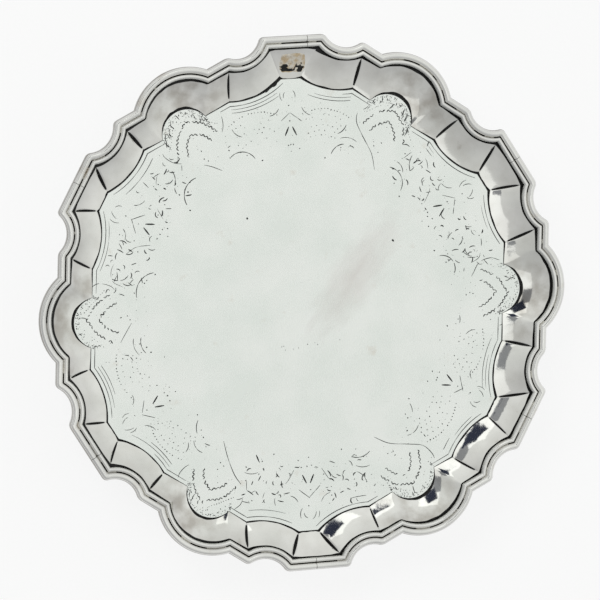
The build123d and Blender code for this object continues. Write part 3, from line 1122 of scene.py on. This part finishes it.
def solder_metal(name, grey, dark):
    """Silver solder, dressed with a file and tarnished: grey, slightly grainy."""
    material, tree, where = new_material(name)
    grain = add(tree, "ShaderNodeTexNoise", {"Vector": where, "Scale": size_mm(0.4), "Detail": 5.0})
    colour = coated(tree, grey, (grain, 0.4, 0.65, 1.0, dark))
    bump = add(tree, "ShaderNodeBump", {"Height": grain, "Strength": 0.5, "Distance": 0.1 * MM})
    finish_material(tree, {"Base Color": colour, "Normal": bump, "Metallic": 1.0, "Roughness": 0.42})
    return material


def repair_metal(name):
    """Soft solder over an old repair: tan and grey blotches, lumpy and half dull."""
    material, tree, where = new_material(name)
    blotch, grain = [
        add(tree, "ShaderNodeTexNoise", {"Vector": where, "Scale": size_mm(mm), "Detail": detail})
        for mm, detail in ((1.6, 5.0), (0.35, 4.0))]
    colour = coated(tree, "c9b699", (blotch, 0.42, 0.6, 1.0, "d9d3c8"), (grain, 0.58, 0.72, 0.8, "6b5a48"))
    bump = add(tree, "ShaderNodeBump", {"Height": blotch, "Strength": 0.7, "Distance": 0.3 * MM})
    finish_material(tree, {"Base Color": colour, "Normal": bump, "Metallic": 0.75, "Roughness": 0.4})
    return material


def floor_paper(name):
    """Matt white background paper: fine tooth, no gloss."""
    material, tree, where = new_material(name)
    tooth = add(tree, "ShaderNodeTexNoise", {"Vector": where, "Scale": size_mm(0.8), "Detail": 4.0})
    bump = add(tree, "ShaderNodeBump", {"Height": tooth, "Strength": 0.1, "Distance": 0.05 * MM})
    finish_material(tree, {"Base Color": coated(tree, "707070", (tooth, 0.0, 1.0, 1.0, "767676")),
                           "Normal": bump, "Roughness": 0.95, "Specular IOR Level": 0.0,
                           "Emission Color": "ffffff", "Emission Strength": 0.8})
    return material


sheet_silver = silver("polished_sheet_silver", "f1f3f0", "e9ede9", "dcd5cc", 0.2, 0.34, 0.66, rubbed=True)
border_silver = silver("raised_border_silver", "ecebe8", "dededa", "aaa49c", 0.04, 0.11, 0.68, 0.12,
                       on_lobes=True)
rim_silver = silver("cast_rim_silver", "eae9e6", "dedddb", "c6bcaf", 0.1, 0.2, 0.62)
# A darker copy of the rim's silver for its outer, lower side: painted shade.
rim_side = silver("painted_shade_rim_side", "b0afab", "989691", "7d7367", 0.2, 0.34, 0.6)
cut_tarnish = tarnish("tarnish_in_cuts", "202222", "4a4c4a")
# Near black in the joints and burnt pits, and also laid as painted shade in the rim's notch and the
# border's corner creases.
joint_tarnish_and_shade = tarnish("tarnish_in_joints_and_painted_shade", "0c0c0c", "1e1d1c")
dressed_solder = solder_metal("dressed_silver_solder", "8f8d88", "4c4a46")
patch_metal = repair_metal("old_soft_solder")

draw_ornament()
make_plate([sheet_silver, cut_tarnish, border_silver, joint_tarnish_and_shade])
for lobe_number in range(LOBES):
    make_rim_section(lobe_number, [rim_silver, joint_tarnish_and_shade, rim_side])
for foot_number, foot_angle in enumerate(FOOT_TABLETS, start=1):
    make_foot(foot_number, foot_angle, [rim_silver], [dressed_solder])[1]
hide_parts("foot_solder")
make_patch([patch_metal, joint_tarnish_and_shade])
for seam_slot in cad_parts["seam_solder"].material_slots:
    seam_slot.material = dressed_solder

# ---- floor, light and camera ------------------------------------------------------------------

FLOOR_SIZE = 6.0           # metres
FLOOR_DROP = 0.2 * MM
CAMERA_TILT = 15.74        # degrees away from straight above
CAMERA_SIDE = 165.3        # degrees round from +X
CAMERA_ROLL = -2.97
CAMERA_DISTANCE = 1.48     # metres
AIM_HEIGHT = 18.0          # mm
AIM_LEFT = 0.82
AIM_UP = 0.81
LENS = 296.7
SENSOR = 36.0
FAR_CLIP = 20.0
KEY_PLACE = (-0.9, 0.9, 1.6)
KEY_SIZE = 0.9
KEY_POWER = 8.0
WINDOW_GAIN = 1.45         # how much brighter the front window is than the tent
GREY_PANE = 0.7            # how dark the grey pane beside the opening is


def make_floor(material):
    bpy.ops.mesh.primitive_plane_add(size=FLOOR_SIZE, location=(0, 0, -FLOOR_DROP))
    floor = bpy.context.object
    floor.name = "paper_floor"
    floor.data.materials.append(material)


def make_sky(back, right, up):
    """A pale light tent with one brighter window in front, and a dark opening in that window.

    back points to the camera; right and up complete its frame.
    """
    world = bpy.data.worlds.new("light_tent")
    bpy.context.scene.world = world
    world.use_nodes = True
    tree = world.node_tree
    tree.nodes.clear()
    way = add(tree, "ShaderNodeTexCoord", out="Generated")
    axes = ((sqrt(0.5), sqrt(0.5), 0), (0.6, 0.8, 0), (0, 0, 1), back, right, up,
            right * 0.9 + up * 0.43, up * 0.9 - right * 0.43)
    low_side, high_side, height, toward, side, rise, leaning, upright = [
        add(tree, "ShaderNodeVectorMath", (way, tuple(axis)), "Value", operation="DOT_PRODUCT")
        for axis in axes]

    def pane(full, *bands):
        """This much where every value is in its band of angles, in front, and 0 elsewhere.

        Each band is the value, its two angles and how soft its edges are, in degrees.
        """
        inside = add(tree, "ShaderNodeMapRange", (toward, 0.5, 0.6, 0.0, full))
        for value, low, high, soft in bands:
            for edge, start, end in ((0.0, low - soft, low), (1.0, high, high + soft)):
                span = (value, sin(radians(start)), sin(radians(end)), edge, 1 - edge)
                fade = add(tree, "ShaderNodeMapRange", span)
                inside = add(tree, "ShaderNodeMath", (inside, fade), operation="MULTIPLY")
        return inside

    low = coated(tree, "aeb0b2", (low_side, -0.9, 0.9, 1.0, "e4e5e3"))
    high = coated(tree, "c9cac9", (high_side, -0.6, 0.25, 1.0, "f2f4f1"))
    window = pane(1.0, (side, -3, 21, 1), (rise, -22, 32, 2))
    opening = pane(1.0, (leaning, 8, 21, 1), (upright, 3, 20, 1))
    grey = pane(GREY_PANE, (side, -4, 8, 1), (rise, -4, 12, 1))
    dark = add(tree, "ShaderNodeMath", (opening, grey), operation="MAXIMUM")
    colour = coated(tree, low, (height, 0.1, 0.75, 1.0, high), (dark, 0.0, 1.0, 1.0, "343948"))
    lit = add(tree, "ShaderNodeMath", (window, dark), operation="SUBTRACT")
    strength = add(tree, "ShaderNodeMapRange", (lit, 0.0, 1.0, 1.0, WINDOW_GAIN))
    light = add(tree, "ShaderNodeBackground", (colour, strength))
    add(tree, "ShaderNodeOutputWorld", (light,))


def make_lamp(name, place, size, power, colour):
    lamp = bpy.data.lights.new(name, "AREA")
    lamp.shape = "DISK"
    lamp.size = size
    lamp.energy = power
    lamp.color = linear(colour)[:3]
    holder = bpy.data.objects.new(name, lamp)
    bpy.context.scene.collection.objects.link(holder)
    holder.location = place
    holder.rotation_mode = "QUATERNION"
    holder.rotation_quaternion = (-Vector(place)).to_track_quat("-Z", "Y")
    holder.visible_glossy = False


def make_camera():
    tilt, side, roll = radians(CAMERA_TILT), radians(CAMERA_SIDE), radians(CAMERA_ROLL)
    back = Vector((sin(tilt) * cos(side), sin(tilt) * sin(side), cos(tilt)))
    up = Vector((-sin(roll), cos(roll), 0.0))
    right = up.cross(back).normalized()
    up = back.cross(right)
    aim = Vector((0, 0, AIM_HEIGHT * MM)) - right * AIM_LEFT * MM + up * AIM_UP * MM
    camera = bpy.data.objects.new("camera", bpy.data.cameras.new("camera"))
    bpy.context.scene.collection.objects.link(camera)
    camera.data.lens = LENS
    camera.data.sensor_width = SENSOR
    camera.data.clip_end = FAR_CLIP
    camera.location = aim + back * CAMERA_DISTANCE
    camera.rotation_euler = Matrix((right, up, back)).transposed().to_euler()
    bpy.context.scene.camera = camera
    return back, right, up


make_floor(floor_paper("white_paper"))
make_sky(*make_camera())
make_lamp("key_light", KEY_PLACE, KEY_SIZE, KEY_POWER, "ffffff")
bpy.context.scene.view_settings.view_transform = "Standard"
